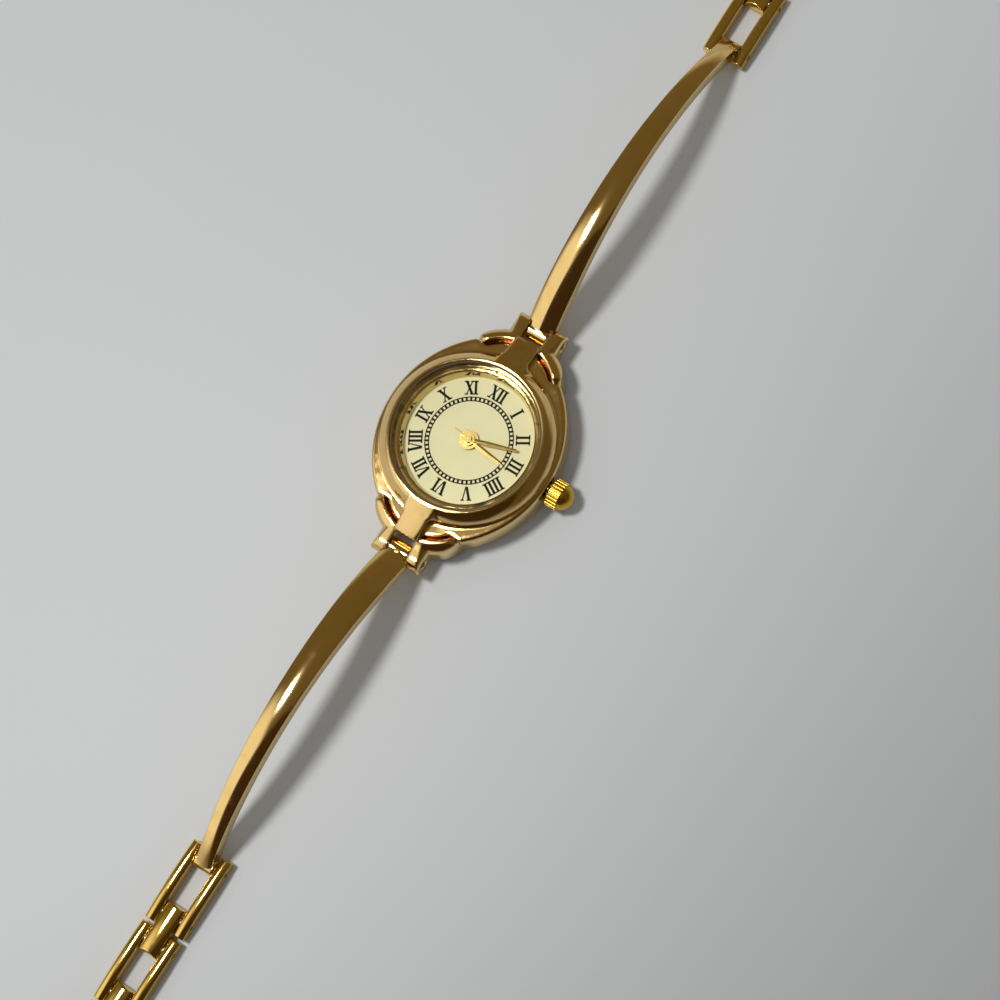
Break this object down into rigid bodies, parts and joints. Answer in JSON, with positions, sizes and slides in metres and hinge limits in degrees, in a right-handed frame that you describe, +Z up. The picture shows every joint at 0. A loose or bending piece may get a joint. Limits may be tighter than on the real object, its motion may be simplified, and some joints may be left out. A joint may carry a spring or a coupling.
{
  "type": "bracelet watch",
  "caption": "Small quartz watch head with a lens-shaped case on two arched bangle arms, with link chains and a fold-over clasp laid out flat.",
  "frame": {"origin": "centre of the case back's outer face", "axes": "+Z up through the dial, +Y towards 12 o'clock along the chain, +X towards 3 o'clock and the crown"},
  "size_m": [0.027, 0.1921, 0.0108],
  "materials": {
    "case_gold": "polished gold plating",
    "arm_gold": "polished gold plating",
    "link_gold": "polished yellow gold plating",
    "crown_gold": "polished yellow gold plating",
    "hand_gold": "polished yellow gold plating",
    "steel": "fine brushed",
    "movement_brass": "machined",
    "crystal_glass": "clear",
    "dial_paint": "cream satin",
    "gasket_rubber": "matt",
    "gasket_plastic": "smooth",
    "holder_plastic": "moulded",
    "board": "satin",
    "winding": "lacquered wire",
    "can_steel": "satin",
    "magnet": "dark grey"
  },
  "bodies": {
    "case": {"case_body": "case_gold", "case_back": "steel", "back_gasket": "gasket_rubber", "lug_pins": "steel", "crystal": "crystal_glass", "crystal_gasket": "gasket_plastic", "dial_ring": "case_gold", "dial": "dial_paint", "stem_tube": "steel", "movement_holder": "holder_plastic", "main_plate": "movement_brass", "train_bridge": "movement_brass", "bridge_screws": "steel", "battery": "can_steel", "battery_strap": "movement_brass", "circuit_board": "board", "quartz_can": "can_steel", "coil": "winding", "stator": "can_steel"},
    "second": {"second_hand": "hand_gold", "seconds_wheel": "movement_brass"},
    "minute": {"minute_hand": "hand_gold", "centre_wheel": "movement_brass"},
    "hour": {"hour_hand": "hand_gold", "hour_wheel": "movement_brass"},
    "third": {"third_wheel": "movement_brass"},
    "motion": {"minute_wheel": "movement_brass"},
    "step": {"step_wheel": "movement_brass"},
    "rotor": {"rotor": "magnet"},
    "pinion": {"setting_pinion": "steel"},
    "crown": {"crown": "crown_gold", "crown_gasket": "gasket_rubber", "stem": "steel"},
    "lever": {"setting_lever": "steel"},
    "arm_12": {"arm_12": "arm_gold"},
    "link_12a": {"link_12a_left": "link_gold", "link_12a_right": "link_gold", "link_12a_pins": "steel"},
    "centre_12ab": {"centre_12ab": "link_gold"},
    "link_12b": {"link_12b_left": "link_gold", "link_12b_right": "link_gold", "link_12b_pins": "steel"},
    "centre_12clasp": {"centre_12clasp": "link_gold"},
    "clasp": {"clasp_plate": "link_gold", "clasp_pin": "steel", "cover_pin": "steel"},
    "clasp_cover": {"clasp_cover": "link_gold"},
    "arm_6": {"arm_6": "arm_gold"},
    "link_6a": {"link_6a_left": "link_gold", "link_6a_right": "link_gold", "link_6a_pins": "steel"},
    "centre_6ab": {"centre_6ab": "link_gold"},
    "link_6b": {"link_6b_left": "link_gold", "link_6b_right": "link_gold", "link_6b_pins": "steel"},
    "centre_6bc": {"centre_6bc": "link_gold"},
    "link_6c": {"link_6c_left": "link_gold", "link_6c_right": "link_gold", "link_6c_pins": "steel"}
  },
  "joints": [
    {"name": "seconds", "type": "hinge", "parent": "case", "child": "second", "pos_m": [0, 0, 0.003], "axis": [0, 0, 1], "continuous": true},
    {"name": "minutes", "type": "hinge", "parent": "case", "child": "minute", "pos_m": [0, 0, 0.003], "axis": [0, 0, 1], "continuous": true},
    {"name": "hours", "type": "hinge", "parent": "case", "child": "hour", "pos_m": [0, 0, 0.003], "axis": [0, 0, 1], "continuous": true},
    {"name": "third_turn", "type": "hinge", "parent": "case", "child": "third", "pos_m": [0.00055, 0.00205, 0.0024], "axis": [0, 0, 1], "continuous": true},
    {"name": "motion_turn", "type": "hinge", "parent": "case", "child": "motion", "pos_m": [0.00157, 0.0011, 0.0031], "axis": [0, 0, 1], "continuous": true},
    {"name": "step_turn", "type": "hinge", "parent": "case", "child": "step", "pos_m": [-0.00176, -0.00123, 0.0024], "axis": [0, 0, 1], "continuous": true},
    {"name": "rotor_turn", "type": "hinge", "parent": "case", "child": "rotor", "pos_m": [-0.00324, -0.00227, 0.0024], "axis": [0, 0, 1], "continuous": true},
    {"name": "crown_turn", "type": "hinge", "parent": "case", "child": "pinion", "pos_m": [0.0049, 0, 0.00245], "axis": [1, 0, 0], "continuous": true},
    {"name": "crown_pull", "type": "slide", "parent": "pinion", "child": "crown", "axis": [1, 0, 0], "range_m": [0, 0.0006]},
    {"name": "lever_turn", "type": "hinge", "parent": "case", "child": "lever", "pos_m": [0.0061, 0.00215, 0.00245], "axis": [0, 0, 1], "range_deg": [0, 18.34]},
    {"name": "lug_12", "type": "hinge", "parent": "case", "child": "arm_12", "pos_m": [0, 0.0162, 0.0032], "axis": [-1, 0, 0], "range_deg": [-20, 40]},
    {"name": "fold_12a", "type": "hinge", "parent": "arm_12", "child": "link_12a", "pos_m": [0, 0.06141, 0.0011], "axis": [-1, 0, 0], "range_deg": [-30, 50]},
    {"name": "fold_12ab", "type": "hinge", "parent": "link_12a", "child": "centre_12ab", "pos_m": [0, 0.06901, 0.0011], "axis": [-1, 0, 0], "range_deg": [-20, 30]},
    {"name": "fold_12b", "type": "hinge", "parent": "centre_12ab", "child": "link_12b", "pos_m": [0, 0.07291, 0.0011], "axis": [-1, 0, 0], "range_deg": [-20, 30]},
    {"name": "fold_12clasp", "type": "hinge", "parent": "link_12b", "child": "centre_12clasp", "pos_m": [0, 0.08051, 0.0011], "axis": [-1, 0, 0], "range_deg": [-20, 30]},
    {"name": "clasp_turn", "type": "hinge", "parent": "centre_12clasp", "child": "clasp", "pos_m": [0, 0.08441, 0.0011], "axis": [-1, 0, 0], "range_deg": [-20, 30]},
    {"name": "cover_open", "type": "hinge", "parent": "clasp", "child": "clasp_cover", "pos_m": [0, 0.08761, 0.00125], "axis": [1, 0, 0], "range_deg": [0, 105]},
    {"name": "lug_6", "type": "hinge", "parent": "case", "child": "arm_6", "pos_m": [0, -0.0162, 0.0032], "axis": [1, 0, 0], "range_deg": [-20, 40]},
    {"name": "fold_6a", "type": "hinge", "parent": "arm_6", "child": "link_6a", "pos_m": [0, -0.06141, 0.0011], "axis": [1, 0, 0], "range_deg": [-30, 50]},
    {"name": "fold_6ab", "type": "hinge", "parent": "link_6a", "child": "centre_6ab", "pos_m": [0, -0.06901, 0.0011], "axis": [1, 0, 0], "range_deg": [-20, 30]},
    {"name": "fold_6b", "type": "hinge", "parent": "centre_6ab", "child": "link_6b", "pos_m": [0, -0.07291, 0.0011], "axis": [1, 0, 0], "range_deg": [-20, 30]},
    {"name": "fold_6bc", "type": "hinge", "parent": "link_6b", "child": "centre_6bc", "pos_m": [0, -0.08051, 0.0011], "axis": [1, 0, 0], "range_deg": [-20, 30]},
    {"name": "fold_6c", "type": "hinge", "parent": "centre_6bc", "child": "link_6c", "pos_m": [0, -0.08441, 0.0011], "axis": [1, 0, 0], "range_deg": [-20, 30]}
  ],
  "couplings": [
    {"joint": "minutes", "follows": "seconds", "ratio": 0.016667},
    {"joint": "hours", "follows": "seconds", "ratio": 0.0013889},
    {"joint": "third_turn", "follows": "seconds", "ratio": -0.13333},
    {"joint": "motion_turn", "follows": "seconds", "ratio": -0.0055556},
    {"joint": "step_turn", "follows": "seconds", "ratio": -6},
    {"joint": "rotor_turn", "follows": "seconds", "ratio": 30},
    {"joint": "lever_turn", "follows": "crown_pull", "rad_per_m": 531.91}
  ]
}
